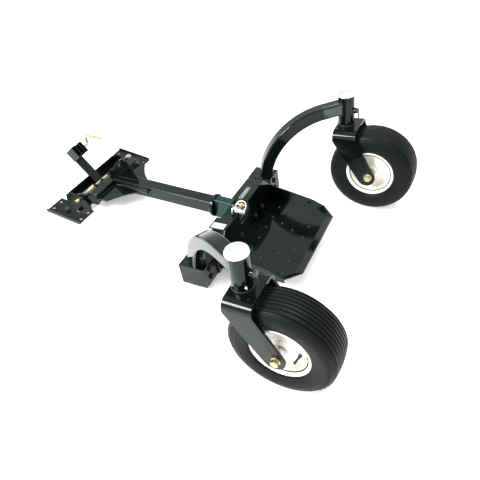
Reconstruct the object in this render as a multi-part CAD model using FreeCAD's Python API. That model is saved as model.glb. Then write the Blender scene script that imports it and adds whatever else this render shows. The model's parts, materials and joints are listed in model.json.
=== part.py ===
import FreeCAD, Part
import math
import os

# Two-wheel stand-on sulky: a foot platform between two swivel casters, with a
# tongue and a hitch bracket that bolts to a walk-behind mower.
# Millimetres.  +X is the rider's left, +Y is the rear, +Z is up.
# The drawing's zero is on the floor, midway between the two wheel contact points; the
# finished parts are moved to the rear by ORIGIN_Y, so that the origin is on the floor
# under the middle of the whole machine.

V = FreeCAD.Vector

# ---- driving dimensions -------------------------------------------------
ORIGIN_Y = 486.76
TYRE_D = 330.0            # 13 x 5.00-6 tyre
TYRE_HALF_W = 62.0
RIM_FLANGE_R = 90.8
RIM_HALF_W = 52.0
AXLE_R = 8.0
RUN_FIT = 0.05            # radial clearance of a shaft in its hole

PITCH_DEG = 11.7          # chassis nose-down angle with the bracket on the floor
CASTER_X = 456.0          # half the distance between the caster tubes
TRAIL = 108.6             # axle behind the caster tube axis
AXLE_Z = TYRE_D / 2.0
TUBE_R = 31.0
TUBE_Z0 = 352.0
TUBE_Z1 = 466.0
CAP_R = 33.0
STEM_R = 12.65

FORK_HALF_W = 76.0
FORK_T = 9.5
FORK_TOP_Z = 345.0
FORK_CORNER_R = 28.0
FORK_Y0 = -33.0
FORK_Y1 = 55.0

ARM_SIDE = 48.0           # square arm tube
ARM_WALL = 4.0
ARM_X = 271.0             # arm foot
ARM_Y = -294.0
ARM_LEAN = 60.0           # how far out the leg leans at the knee
ARM_KNEE_Z = 388.0
ARM_BEND_R = 280.0
ARM_TOP_Z = 418.0

BEAM_Y0 = -334.0
BEAM_Y1 = -234.0
BEAM_Z0 = 108.0
BEAM_Z1 = 173.0
BEAM_HALF = 232.0
SOCKET_Y0 = -337.0
SOCKET_Y1 = -240.0

SHEET = 4.0               # platform sheet
FLOOR_Z = 115.0           # top of the platform floor, chassis frame
DECK_HALF = 208.0
DECK_Y1 = 12.0            # where the rear lip starts
LIP_RUN = 30.0
LIP_RISE = 10.0
STRIP_Z = 240.0
STRIP_Y0 = -296.0
STRIP_HALF = 157.0

TONGUE_SIDE = 50.8
TONGUE_WALL = 4.0
TONGUE_DEG = 7.7          # tongue slope in the floor frame
ROLL_Y = -413.7           # a point on the roll axis, floor frame
ROLL_Z = 123.1
SPINDLE_R = 12.7
HOUSING_HALF = 18.0
HOUSING_Y1 = 24.0         # rear face of the coupler housing, tongue frame

HITCH_Y = -1000.0         # pitch axis, floor frame
HITCH_Z = 30.0
HITCH_PIN_R = 8.0
EAR_X0 = 146.0
EAR_X1 = 152.0
CHANNEL_Y0 = -1062.0
PLATE_X1 = 240.0
PLATE_Y0 = -1090.0
PLATE_Y1 = -930.0
BAR_DEG = 138.0           # stow bar's direction about the pitch axis, from +Y
BLOCK_R = 146.0           # stow pin's distance from the pitch axis
STOW_DEG = 89.0           # fold at which the sector's hole meets the stow pin
PIN_N = -6.0              # stow pin in the bar's own axes: off the radial line,
PIN_S = math.sqrt(BLOCK_R * BLOCK_R - PIN_N * PIN_N)  # and along the bar
PIN_DEG = BAR_DEG - math.degrees(math.asin(-PIN_N / BLOCK_R))
SECTOR_EDGE_DEG = PIN_DEG + 5.5 - STOW_DEG
SECTOR_R = 196.0

HEAD_HALF = 132.0         # cross tube of the tongue's T-head, tongue frame
HEAD_Y0 = -543.0
HEAD_Y1 = -503.0
HITCH_LY = ((HITCH_Y - ROLL_Y) * math.cos(math.radians(TONGUE_DEG))
            + (HITCH_Z - ROLL_Z) * math.sin(math.radians(TONGUE_DEG)))
HITCH_LZ = ((HITCH_Z - ROLL_Z) * math.cos(math.radians(TONGUE_DEG))
            - (HITCH_Y - ROLL_Y) * math.sin(math.radians(TONGUE_DEG)))
LYNCH_HINGE_Z = 30.0

MOUNT_XS = (172.0, 214.0)
MOUNT_YS = (PLATE_Y0 + 14.0, PLATE_Y1 - 14.0)
MOUNT_HOLE_R = 5.5
CENTRE_BOLT_X = 198.0
CENTRE_BOLT_Y = -1020.0


# ---- geometry helpers ---------------------------------------------------
def box(x0, x1, y0, y1, z0, z1):
    return Part.makeBox(x1 - x0, y1 - y0, z1 - z0, V(x0, y0, z0))


def cyl(centre, axis, radius, length):
    return Part.makeCylinder(radius, length, V(*centre), V(*axis))


def ring(centre, axis, outer, inner, length):
    return cyl(centre, axis, outer, length).cut(cyl(centre, axis, inner, length))


def prism(points, direction):
    wire = Part.makePolygon([V(*p) for p in points] + [V(*points[0])])
    return Part.Face(wire).extrude(V(*direction))


def hexagon(centre, axis, across_flats, height):
    corner = across_flats / math.sqrt(3.0)
    points = []
    for i in range(6):
        a = math.radians(60.0 * i)
        points.append((corner * math.cos(a), corner * math.sin(a), 0.0))
    solid = prism(points, (0, 0, height))
    solid.Placement = FreeCAD.Placement(V(*centre), FreeCAD.Rotation(V(0, 0, 1), V(*axis)))
    return solid


def fuse(shapes):
    first = shapes[0]
    if len(shapes) == 1:
        return first
    return first.multiFuse(shapes[1:]).removeSplitter()


def group(shapes):
    return Part.makeCompound(shapes)


def mirrored(shape):
    return shape.mirror(V(0, 0, 0), V(1, 0, 0))


def pitched(shape):
    """Move a shape from the chassis frame to the floor frame."""
    shape.rotate(V(0, TRAIL, AXLE_Z), V(1, 0, 0), PITCH_DEG)
    shape.translate(V(0, -TRAIL, 0))
    return shape


def on_tongue(shape):
    """Move a shape from the tongue frame (origin on the roll axis) to the floor frame."""
    shape.rotate(V(0, 0, 0), V(1, 0, 0), TONGUE_DEG)
    shape.translate(V(0, ROLL_Y, ROLL_Z))
    return shape


def revolved(profile, x_centre):
    """Revolve (radius, x) points about the wheel axle's own X line."""
    points = [(x, 0.0, r) for r, x in profile]
    wire = Part.makePolygon([V(*p) for p in points] + [V(*points[0])])
    solid = Part.Face(wire).revolve(V(0, 0, 0), V(1, 0, 0), 360.0)
    solid.translate(V(x_centre, TRAIL, AXLE_Z))
    return solid


def tangent_point(point, centre, radius, side):
    """Point where a line from `point` touches a circle in the YZ plane."""
    dy = centre[0] - point[0]
    dz = centre[1] - point[1]
    dist = math.hypot(dy, dz)
    along = math.atan2(dz, dy)
    half = math.acos(radius / dist)
    a = along + math.pi + side * half
    return (centre[0] + radius * math.cos(a), centre[1] + radius * math.sin(a))


# ---- wheels (chassis frame, x = +456) -----------------------------------
def tyre():
    crown = TYRE_D / 2.0
    outer = []
    groove_x = [-37.5, -22.5, -7.5, 7.5, 22.5, 37.5]
    for gx in groove_x:
        top = crown - 0.0022 * gx * gx
        outer.append((top, gx - 2.0))
        outer.append((top - 4.0, gx - 1.5))
        outer.append((top - 4.0, gx + 1.5))
        outer.append((top, gx + 2.0))
    profile = [(92.0, -50.0), (104.0, -58.0), (124.0, -TYRE_HALF_W), (143.0, -60.0), (156.0, -51.0)]
    profile += outer
    profile += [(156.0, 51.0), (143.0, 60.0), (124.0, TYRE_HALF_W), (104.0, 58.0), (92.0, 50.0)]
    profile += [(92.0, 46.5), (78.0, 46.5), (78.0, 30.0), (98.0, 44.0), (122.0, 53.0)]
    profile += [(148.0, 46.0), (152.0, 0.0), (148.0, -46.0), (122.0, -53.0), (98.0, -44.0)]
    profile += [(78.0, -30.0), (78.0, -46.5), (92.0, -46.5)]
    return revolved(profile, CASTER_X)


def rim():
    half = [(RIM_FLANGE_R, 46.5), (RIM_FLANGE_R, RIM_HALF_W), (87.0, RIM_HALF_W), (82.0, 48.0)]
    half += [(74.0, 42.0), (70.0, 24.0), (62.0, 17.0), (40.0, 16.0), (32.0, 22.0), (22.0, 22.0)]
    half += [(22.0, 19.0), (31.0, 19.0), (39.0, 13.0), (64.0, 14.0), (70.0, 3.0)]
    other = [(r, -x) for r, x in reversed(half)]
    seat = [(78.0, -46.5), (78.0, -28.0), (74.0, -20.0), (74.0, 20.0), (78.0, 28.0), (78.0, 46.5)]
    return revolved(half + other + seat, CASTER_X)


def hub():
    axis = (1, 0, 0)
    x0 = CASTER_X - 38.0
    tube = ring((x0, TRAIL, AXLE_Z), axis, 22.0, 12.0, 76.0)
    tube = tube.cut(cyl((x0, TRAIL, AXLE_Z), axis, 16.0, 11.0))
    return tube.cut(cyl((x0 + 65.0, TRAIL, AXLE_Z), axis, 16.0, 11.0))


def wheel_bearings():
    axis = (1, 0, 0)
    pair = []
    for x0 in (CASTER_X - 38.0, CASTER_X + 27.0):
        pair.append(ring((x0, TRAIL, AXLE_Z), axis, 16.0, AXLE_R + RUN_FIT, 11.0))
    return group(pair)


def valve_stem():
    stem = cyl((CASTER_X + 14.0, TRAIL + 48.0, AXLE_Z - 26.0), (0.96, -0.24, -0.1), 4.0, 36.0)
    return max(stem.cut(rim()).Solids, key=lambda s: s.Volume)


# ---- casters (chassis frame, x = +456) ----------------------------------
def fork():
    c = (TRAIL - 8.0, AXLE_Z - 6.0)
    tip_r = 34.0
    front = (FORK_Y0, 306.0)
    rear = (FORK_Y1 + 2.0, 314.0)
    t_front = tangent_point(front, c, tip_r, 1)
    t_rear = tangent_point(rear, c, tip_r, -1)
    outline = [(FORK_Y0, 346.0), front, t_front, c, t_rear, rear, (FORK_Y1, 346.0)]
    side = prism([(300.0, y, z) for y, z in outline], (300.0, 0, 0))
    side = side.fuse(cyl((300.0, c[0], c[1]), (1, 0, 0), tip_r, 300.0))
    x0 = CASTER_X - FORK_HALF_W
    width = 2.0 * FORK_HALF_W
    outer = box(x0, x0 + width, -60.0, 160.0, 100.0, FORK_TOP_Z)
    tops = [e for e in outer.Edges if abs(e.BoundBox.ZMin - FORK_TOP_Z) < 0.01 and e.BoundBox.YLength > 100]
    outer = outer.makeFillet(FORK_CORNER_R, tops)
    inner = box(x0 + FORK_T, x0 + width - FORK_T, -60.0, 160.0, 90.0, FORK_TOP_Z - FORK_T)
    tops = [e for e in inner.Edges
            if abs(e.BoundBox.ZMax - (FORK_TOP_Z - FORK_T)) < 0.01
            and e.BoundBox.ZLength < 0.01 and e.BoundBox.YLength > 100]
    inner = inner.makeFillet(FORK_CORNER_R - FORK_T, tops)
    solid = outer.cut(inner).common(side)
    solid = solid.cut(cyl((x0 - 5.0, TRAIL, AXLE_Z), (1, 0, 0), AXLE_R, width + 10.0))
    solid = solid.cut(cyl((CASTER_X, 0, 300.0), (0, 0, 1), STEM_R, 60.0))
    return solid


def kingpin():
    """Swivel stem welded in the fork, and its nut."""
    stem = cyl((CASTER_X, 0, FORK_TOP_Z - FORK_T), (0, 0, 1), STEM_R, TUBE_Z1 - FORK_TOP_Z + FORK_T)
    head = cyl((CASTER_X, 0, FORK_TOP_Z - FORK_T - 4.0), (0, 0, 1), 18.0, 4.0)
    nut = hexagon((CASTER_X, 0, 451.3), (0, 0, 1), 38.0, 12.0)
    nut = nut.cut(cyl((CASTER_X, 0, 448.0), (0, 0, 1), STEM_R, 20.0))
    return group([stem.fuse(head), nut])


def fork_seal():
    return ring((CASTER_X, 0, FORK_TOP_Z), (0, 0, 1), 33.0, STEM_R, TUBE_Z0 - FORK_TOP_Z - 0.3)


def axle_bolt():
    x0 = CASTER_X - FORK_HALF_W
    shaft = cyl((x0 - 16.0, TRAIL, AXLE_Z), (1, 0, 0), AXLE_R, 2.0 * FORK_HALF_W + 16.0)
    head = hexagon((CASTER_X + FORK_HALF_W, TRAIL, AXLE_Z), (1, 0, 0), 22.0, 15.0)
    nut = hexagon((x0, TRAIL, AXLE_Z), (-1, 0, 0), 24.0, 13.0)
    nut = nut.cut(cyl((x0 - 15.0, TRAIL, AXLE_Z), (1, 0, 0), AXLE_R, 20.0))
    return group([shaft.fuse(head), nut])


def axle_spacers():
    length = FORK_HALF_W - FORK_T - 38.3
    left = ring((CASTER_X + 38.3, TRAIL, AXLE_Z), (1, 0, 0), 13.0, AXLE_R, length)
    right = ring((CASTER_X - 38.3, TRAIL, AXLE_Z), (-1, 0, 0), 13.0, AXLE_R, length)
    return group([left, right])


# ---- chassis ------------------------------------------------------------
def caster_tube():
    tube = ring((CASTER_X, 0, TUBE_Z0), (0, 0, 1), TUBE_R, 25.0, TUBE_Z1 - TUBE_Z0)
    boss = cyl((CASTER_X, 25.5, 402.0), (0, 1, 0), 11.0, 14.0)
    return tube.fuse(boss.cut(cyl((CASTER_X, 0, 380.0), (0, 0, 1), 26.0, 60.0)))


def caster_bearings():
    lower = ring((CASTER_X, 0, TUBE_Z0), (0, 0, 1), 25.0, STEM_R + RUN_FIT, 15.0)
    upper = ring((CASTER_X, 0, 436.0), (0, 0, 1), 25.0, STEM_R + RUN_FIT, 15.0)
    return group([lower, upper])


def dust_cap():
    z0 = TUBE_Z1 - 4.0
    z1 = TUBE_Z1 + 6.0
    body = cyl((CASTER_X, 0, z0), (0, 0, 1), CAP_R, z1 - z0)
    body = body.makeFillet(3.0, [e for e in body.Edges if abs(e.BoundBox.ZMin - z1) < 0.01])
    ball = Part.makeSphere(118.0, V(CASTER_X, 0, z1 + 4.0 - 118.0))
    dome = ball.common(cyl((CASTER_X, 0, z1 - 0.1), (0, 0, 1), 29.5, 10.0))
    body = body.fuse(dome)
    body = body.cut(cyl((CASTER_X, 0, z0 - 1.0), (0, 0, 1), TUBE_R, 5.0))
    return body.cut(cyl((CASTER_X, 0, TUBE_Z1 - 1.0), (0, 0, 1), 24.0, 5.0))


def tube_bolt():
    head = hexagon((CASTER_X, 39.5, 402.0), (0, 1, 0), 19.0, 8.0)
    tail = cyl((CASTER_X, 43.0, 400.0), (0, 0.1, -1), 2.5, 36.0)
    return head.fuse(tail)


def arm_path(corner_radius):
    """Wire of the arm's centre line: leg, bend and rising run, in its own vertical plane."""
    length = math.hypot(CASTER_X - ARM_X, ARM_Y)
    d = V((CASTER_X - ARM_X) / length, -ARM_Y / length, 0)
    foot = V(ARM_X, ARM_Y, BEAM_Z0 + 8.0)
    knee = V(ARM_X, ARM_Y, 0) + d * ARM_LEAN + V(0, 0, ARM_KNEE_Z)
    end = V(ARM_X, ARM_Y, 0) + d * (length - 12.0) + V(0, 0, ARM_TOP_Z)
    leg = (foot - knee).normalize()
    run = (end - knee).normalize()
    half = math.acos(leg.dot(run)) / 2.0
    back = corner_radius / math.tan(half)
    bis = (leg + run).normalize()
    centre = knee + bis * (corner_radius / math.sin(half))
    middle = centre - bis * corner_radius
    p1 = knee + leg * back
    p2 = knee + run * back
    wire = Part.Wire([Part.LineSegment(foot, p1).toShape(),
                      Part.Arc(p1, middle, p2).toShape(),
                      Part.LineSegment(p2, end).toShape()])
    return wire, foot, leg, d


def square_section(centre, normal, d, side, corner):
    """Rounded square wire across the arm's path."""
    side_dir = normal.cross(d).normalize()
    up_dir = side_dir.cross(normal).normalize()
    h = side / 2.0
    edges = []
    signs = [(1, 1), (-1, 1), (-1, -1), (1, -1)]
    for i, (a, b) in enumerate(signs):
        na, nb = signs[(i + 1) % 4]
        c = centre + side_dir * (a * (h - corner)) + up_dir * (b * (h - corner))
        nc = centre + side_dir * (na * (h - corner)) + up_dir * (nb * (h - corner))
        if i % 2 == 0:
            offset = up_dir * (b * corner)
            start = side_dir * (a * corner)
        else:
            offset = side_dir * (a * corner)
            start = up_dir * (b * corner)
        mid = (offset + start).normalize() * corner
        edges.append(Part.Arc(c + start, c + mid, c + offset).toShape())
        edges.append(Part.LineSegment(c + offset, nc + offset).toShape())
    return Part.Wire(edges)


def arm():
    wire, foot, leg, d = arm_path(ARM_BEND_R)
    outer = wire.makePipeShell([square_section(foot, leg, d, ARM_SIDE, 7.0)], True, False)
    inner = wire.makePipeShell([square_section(foot, leg, d, ARM_SIDE - 2 * ARM_WALL, 3.0)], True, False)
    tube = outer.cut(inner)
    tube = tube.cut(cyl((CASTER_X, 0, 300.0), (0, 0, 1), TUBE_R, 220.0))
    for z in (130.0, 165.0):
        tube = tube.cut(cyl((ARM_X, BEAM_Y0 - 20.0, z), (0, 1, 0), 6.0, 140.0))
    return max(tube.Solids, key=lambda s: s.Volume)


def arm_socket():
    outer = box(BEAM_HALF, 310.0, SOCKET_Y0, SOCKET_Y1, BEAM_Z0 + 2.0, 190.0)
    inner = box(BEAM_HALF + 6.0, 304.0, SOCKET_Y0 + 6.0, SOCKET_Y1 - 6.0, BEAM_Z0 + 8.0, 184.0)
    wire, foot, leg, d = arm_path(ARM_BEND_R)
    envelope = wire.makePipeShell([square_section(foot, leg, d, ARM_SIDE, 7.0)], True, False)
    solid = outer.cut(inner).cut(envelope)
    for z in (130.0, 165.0):
        solid = solid.cut(cyl((ARM_X, BEAM_Y0 - 20.0, z), (0, 1, 0), 6.0, 140.0))
    return max(solid.Solids, key=lambda s: s.Volume)


def arm_bolts():
    bolts = []
    for z in (130.0, 165.0):
        shaft = cyl((ARM_X, SOCKET_Y0 - 13.0, z), (0, 1, 0), 6.0, SOCKET_Y1 - SOCKET_Y0 + 13.0)
        head = hexagon((ARM_X, SOCKET_Y1, z), (0, 1, 0), 19.0, 8.0)
        nut = hexagon((ARM_X, SOCKET_Y0, z), (0, -1, 0), 19.0, 10.0)
        bolts.append(fuse([shaft, head, nut]))
    return group(bolts)


def cross_beam():
    outer = box(-BEAM_HALF, BEAM_HALF, BEAM_Y0, BEAM_Y1, BEAM_Z0, BEAM_Z1)
    long_edges = [e for e in outer.Edges if e.BoundBox.XLength > 100]
    outer = outer.makeFillet(6.0, long_edges)
    inner = box(-BEAM_HALF, BEAM_HALF, BEAM_Y0 + 5.0, BEAM_Y1 - 5.0, BEAM_Z0 + 5.0, BEAM_Z1 - 5.0)
    solid = outer.cut(inner)
    for x in (-120.0, -60.0, 60.0, 120.0):
        solid = solid.cut(cyl((x, BEAM_Y1 - 20.0, 145.0), (0, 1, 0), 5.0, 30.0))
    return solid


def corner_lip():
    """Rear lip carried round the corner at 45 degrees, up to the side wall."""
    run = LIP_RUN / math.sqrt(2.0)
    n = V(1, 1, 0).normalize()
    e = V(1, -1, 0).normalize()
    start = V(STRIP_HALF, DECK_Y1, 0) - e * run
    points = []
    for t, z in ((0, -SHEET), (0, 0), (run, LIP_RISE), (run, LIP_RISE - SHEET)):
        points.append(start + n * t + V(0, 0, FLOOR_Z + z))
    strip = prism(points, e * 110.0)
    return strip.common(box(STRIP_HALF, DECK_HALF - SHEET, -60.0, 60.0, 90.0, 150.0))


def deck_bump(x, y):
    ball_r = 9.7
    return Part.makeSphere(ball_r, V(x, y, FLOOR_Z + 3.0 - ball_r), V(0, 0, 1), 38.0, 90.0, 360.0)


def deck_floor():
    y0 = BEAM_Y1 + SHEET
    half = DECK_HALF - SHEET
    corner_y = DECK_Y1 - (half - STRIP_HALF)
    outline = [(-half, y0), (half, y0), (half, corner_y), (STRIP_HALF, DECK_Y1)]
    outline += [(-STRIP_HALF, DECK_Y1), (-half, corner_y)]
    plate = prism([(x, y, FLOOR_Z - SHEET) for x, y in outline], (0, 0, SHEET))
    bumps = []
    for row in range(4):
        for col in range(-3, 5):
            x = 64.0 * col + 40.0 - 27.0 * row
            if abs(x) < half - 20.0:
                bumps.append(deck_bump(x, -28.5 - 51.0 * row))
    z = FLOOR_Z - SHEET
    y2 = DECK_Y1 + LIP_RUN
    profile = [(0, DECK_Y1, z), (0, DECK_Y1, FLOOR_Z), (0, y2, FLOOR_Z + LIP_RISE), (0, y2, z + LIP_RISE)]
    strip = prism(profile, (2 * STRIP_HALF, 0, 0))
    strip.translate(V(-STRIP_HALF, 0, 0))
    return fuse([plate, strip, corner_lip(), mirrored(corner_lip())] + bumps)


def deck_side():
    y0 = BEAM_Y1 + SHEET
    x0 = DECK_HALF - SHEET
    outline = [(y0, FLOOR_Z - SHEET), (-5.0, FLOOR_Z - SHEET), (-5.0, 126.0), (-58.0, 150.0), (y0, 189.0)]
    return prism([(x0, y, z) for y, z in outline], (SHEET, 0, 0))


def toe_board():
    half = DECK_HALF
    outline = [(-half, FLOOR_Z - SHEET), (half, FLOOR_Z - SHEET), (half, 189.0)]
    outline += [(STRIP_HALF, STRIP_Z), (-STRIP_HALF, STRIP_Z), (-half, 189.0)]
    wall = prism([(x, BEAM_Y1, z) for x, z in outline], (0, SHEET, 0))
    top = box(-STRIP_HALF, STRIP_HALF, STRIP_Y0, BEAM_Y1, STRIP_Z - SHEET, STRIP_Z)
    top = top.cut(box(-HOUSING_HALF - 1.0, 97.0, STRIP_Y0 - 1.0, BEAM_Y1, 200.0, 260.0))
    wall = wall.fuse(top).removeSplitter()
    wall = wall.cut(box(-26.0, 50.0, -280.0, BEAM_Y1 + 10.0, 184.0, 245.0))
    for x in (-120.0, -60.0, 60.0, 120.0):
        wall = wall.cut(cyl((x, BEAM_Y1 - 5.0, 145.0), (0, 1, 0), 5.0, 20.0))
    return wall


def deck_bolts():
    bolts = []
    for x in (-120.0, -60.0, 60.0, 120.0):
        shaft = cyl((x, BEAM_Y1 - 18.0, 145.0), (0, 1, 0), 5.0, 22.0)
        head = hexagon((x, BEAM_Y1 + SHEET, 145.0), (0, 1, 0), 16.0, 6.0)
        nut = hexagon((x, BEAM_Y1 - 5.0, 145.0), (0, -1, 0), 16.0, 8.0)
        bolts.append(fuse([shaft, head, nut]))
    return group(bolts)


# ---- roll coupling and tongue (tongue frame: origin on the roll axis, +Y rear) ----
def coupler_housing():
    body = box(-HOUSING_HALF, HOUSING_HALF, -46.0, HOUSING_Y1, -44.0, 36.0)
    long_edges = [e for e in body.Edges if e.BoundBox.YLength > 60]
    body = body.makeFillet(5.0, long_edges)
    seat = pitched(box(-60.0, 60.0, BEAM_Y0, BEAM_Y1, BEAM_Z0, BEAM_Z1))
    seat.translate(V(0, -ROLL_Y, -ROLL_Z))
    seat.rotate(V(0, 0, 0), V(1, 0, 0), -TONGUE_DEG)
    body = body.cut(seat)
    return body.cut(cyl((0, -60.0, 0), (0, 1, 0), SPINDLE_R + 2.5, 120.0))


def spindle_bushings():
    parts = []
    for y in (-46.0, HOUSING_Y1 - 24.0):
        parts.append(ring((0, y, 0), (0, 1, 0), SPINDLE_R + 2.5, SPINDLE_R + RUN_FIT, 24.0))
    return group(parts)


def spindle():
    """Roll shaft with a loose thrust washer behind the housing."""
    shaft = cyl((0, -58.0, 0), (0, 1, 0), SPINDLE_R, 130.0)
    shaft = shaft.cut(cyl((0, 56.0, -30.0), (0, 0, 1), 4.0 + RUN_FIT, 60.0))
    return group([shaft, ring((0, HOUSING_Y1 + 0.3, 0), (0, 1, 0), 22.0, SPINDLE_R, 4.0)])


def collar():
    disc = cyl((0, -58.0, 0), (0, 1, 0), 43.0, 11.7)
    disc = disc.makeFillet(3.0, [e for e in disc.Edges if e.BoundBox.YLength < 0.01])
    return disc.cut(cyl((0, -70.0, 0), (0, 1, 0), SPINDLE_R, 40.0))


def collar_bolts():
    bolts = []
    for i in range(4):
        a = math.radians(90.0 * i)
        bolts.append(hexagon((34.5 * math.cos(a), -58.0, 34.5 * math.sin(a)), (0, -1, 0), 9.0, 6.0))
    return group(bolts)


def tongue_tube():
    h = TONGUE_SIDE / 2.0
    outer = box(-h, h, HEAD_Y1, -58.0, -h, h)
    outer = outer.makeFillet(6.0, [e for e in outer.Edges if e.BoundBox.YLength > 100])
    w = h - TONGUE_WALL
    return outer.cut(box(-w, w, HEAD_Y1, -58.0, -w, w))


def tongue_side_bar():
    return cyl((TONGUE_SIDE / 2.0 + 9.0, -450.0, 14.0), (0, 1, 0), 9.0, 118.0)


def head_cross_tube():
    outer = box(-HEAD_HALF, HEAD_HALF, HEAD_Y0, HEAD_Y1, -20.0, 20.0)
    outer = outer.makeFillet(5.0, [e for e in outer.Edges if e.BoundBox.XLength > 100])
    return outer.cut(box(-HEAD_HALF, HEAD_HALF, HEAD_Y0 + 4.0, HEAD_Y1 - 4.0, -16.0, 16.0))


def head_wing():
    """Side gusset with a concave edge, from the tongue out to the cross tube."""
    h = TONGUE_SIDE / 2.0
    a = V(h, -355.0, -3.0)
    b = V(76.0, -424.0, -3.0)
    c = V(HEAD_HALF, -464.0, -3.0)
    d = V(HEAD_HALF, HEAD_Y1, -3.0)
    e = V(h, HEAD_Y1, -3.0)
    edges = [Part.Arc(a, b, c).toShape()]
    for p, q in ((c, d), (d, e), (e, a)):
        edges.append(Part.LineSegment(p, q).toShape())
    return Part.Face(Part.Wire(edges)).extrude(V(0, 0, 6.0))


def head_arm():
    x0 = HEAD_HALF
    outline = [(HITCH_LY, HITCH_LZ - 20.0), (HEAD_Y0, -20.0), (HEAD_Y1, -20.0)]
    outline += [(HEAD_Y1, 20.0), (HEAD_Y0, 20.0), (HITCH_LY - 8.0, HITCH_LZ + 18.3)]
    plate = prism([(x0, y, z) for y, z in outline], (10.0, 0, 0))
    plate = plate.fuse(cyl((x0, HITCH_LY, HITCH_LZ), (1, 0, 0), 20.0, 10.0))
    return plate.cut(cyl((x0 - 1.0, HITCH_LY, HITCH_LZ), (1, 0, 0), HITCH_PIN_R + RUN_FIT, 12.0))


def pin_guides():
    lugs = []
    for x0 in (6.0, 50.0):
        lug = box(x0, x0 + 6.0, HITCH_LY, HEAD_Y0, HITCH_LZ - 12.0, HITCH_LZ + 12.0)
        lug = lug.fuse(cyl((x0, HITCH_LY, HITCH_LZ), (1, 0, 0), 12.0, 6.0))
        lugs.append(lug.cut(cyl((x0 - 1.0, HITCH_LY, HITCH_LZ), (1, 0, 0), 6.0 + RUN_FIT, 8.0)))
    return group(lugs)


def sector_plate():
    """Quarter plate about the pitch axis; its hole takes the stow pin."""
    lo = math.radians(8.0)
    hi = math.radians(SECTOR_EDGE_DEG - TONGUE_DEG)
    mid = (lo + hi) / 2.0

    def at(r, a):
        return V(-6.0, HITCH_LY + r * math.cos(a), HITCH_LZ + r * math.sin(a))

    edges = [Part.Arc(at(SECTOR_R, lo), at(SECTOR_R, mid), at(SECTOR_R, hi)).toShape()]
    edges.append(Part.LineSegment(at(SECTOR_R, hi), at(62.0, hi)).toShape())
    edges.append(Part.Arc(at(62.0, hi), at(62.0, mid), at(62.0, lo)).toShape())
    edges.append(Part.LineSegment(at(62.0, lo), at(SECTOR_R, lo)).toShape())
    plate = Part.Face(Part.Wire(edges)).extrude(V(6.0, 0, 0))
    plate = plate.cut(box(-20.0, 20.0, HEAD_Y1, -300.0, -60.0, TONGUE_SIDE / 2.0))
    plate = plate.cut(box(-20.0, 20.0, -640.0, HEAD_Y1, -60.0, 20.0))
    tip = at(SECTOR_R, hi)
    corner = [e for e in plate.Edges
              if e.BoundBox.YLength < 0.01 and math.hypot(e.BoundBox.YMin - tip.y, e.BoundBox.ZMin - tip.z) < 0.1]
    plate = plate.makeFillet(26.0, corner)
    a = math.radians(PIN_DEG - STOW_DEG - TONGUE_DEG)
    hole = at(BLOCK_R, a)
    return plate.cut(cyl((-10.0, hole.y, hole.z), (1, 0, 0), 6.3, 20.0))


def hitch_pin_left():
    c = (HITCH_LY, HITCH_LZ)
    tip = cyl((124.0, c[0], c[1]), (1, 0, 0), HITCH_PIN_R, 42.0)
    tip = tip.makeChamfer(2.0, [e for e in tip.Edges if abs(e.BoundBox.XMin - 166.0) < 0.01])
    stop = cyl((118.3, c[0], c[1]), (1, 0, 0), 11.5, 5.7)
    rod = cyl((-32.0, c[0], c[1]), (1, 0, 0), 6.0, 151.0)
    knob = Part.makeSphere(6.0, V(-32.0, c[0], c[1]))
    leg = cyl((-32.0, c[0], c[1]), (0, 0.45, -0.89), 6.0, 14.0)
    return fuse([tip, stop, rod, knob, leg])


def hitch_spring_left():
    return ring((56.2, HITCH_LY, HITCH_LZ), (1, 0, 0), 11.0, 7.0, 61.8)


def clip_ring(radius):
    return Part.makeTorus(12.0, radius, V(-94.0, HITCH_LY, HITCH_LZ), V(0, 1, 0))


def hinge_pin_right():
    c = (HITCH_LY, HITCH_LZ)
    shaft = cyl((-160.0, c[0], c[1]), (1, 0, 0), HITCH_PIN_R, 60.0)
    head = cyl((-194.0, c[0], c[1]), (1, 0, 0), 10.0, 36.0)
    head = head.makeChamfer(2.0, [e for e in head.Edges if abs(e.BoundBox.XMax + 194.0) < 0.01])
    return shaft.fuse(head).cut(clip_ring(2.0))


def pin_clip_right():
    return clip_ring(1.8)


def lynch_pin():
    pin = cyl((0, 56.0, -20.0), (0, 0, 1), 4.0, 40.0)
    head = cyl((0, 56.0, 13.0), (0, 0, 1), 8.0, 23.0)
    head = head.makeFillet(3.0, [e for e in head.Edges if abs(e.BoundBox.ZMin - 36.0) < 0.01])
    return pin.fuse(head).cut(cyl((0, 40.0, LYNCH_HINGE_Z), (0, 1, 0), 4.0, 32.0))


def lynch_ring():
    """Wire ring with a straight bar that runs through the hole in the pin's head."""
    a = math.radians(-42.0)
    across = V(math.cos(a), 0, math.sin(a))
    hinge = V(0, 56.0, LYNCH_HINGE_Z)
    wire = Part.makeTorus(20.0, 2.0, hinge + across * 6.0, V(-across.z, 0, across.x))
    return wire.fuse(cyl((0, 37.0, LYNCH_HINGE_Z), (0, 1, 0), 2.0, 38.0))


# ---- hitch bracket on the mower (floor frame) ---------------------------
def hitch_channel():
    base = box(-EAR_X0, EAR_X0, CHANNEL_Y0, -965.0, 0.0, 6.0)
    front = box(-EAR_X0, EAR_X0, CHANNEL_Y0, CHANNEL_Y0 + 6.0, 0.0, 34.0)
    return fuse([base, front])


def bracket_ear():
    outline = [(CHANNEL_Y0, 0.0), (-945.0, 0.0), (-945.0, 24.0), (-972.0, 52.0), (-1034.0, 52.0)]
    outline += [(CHANNEL_Y0, 34.0)]
    plate = prism([(EAR_X0, y, z) for y, z in outline], (EAR_X1 - EAR_X0, 0, 0))
    return plate.cut(cyl((EAR_X0 - 1.0, HITCH_Y, HITCH_Z), (1, 0, 0), HITCH_PIN_R + RUN_FIT, 10.0))


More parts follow.
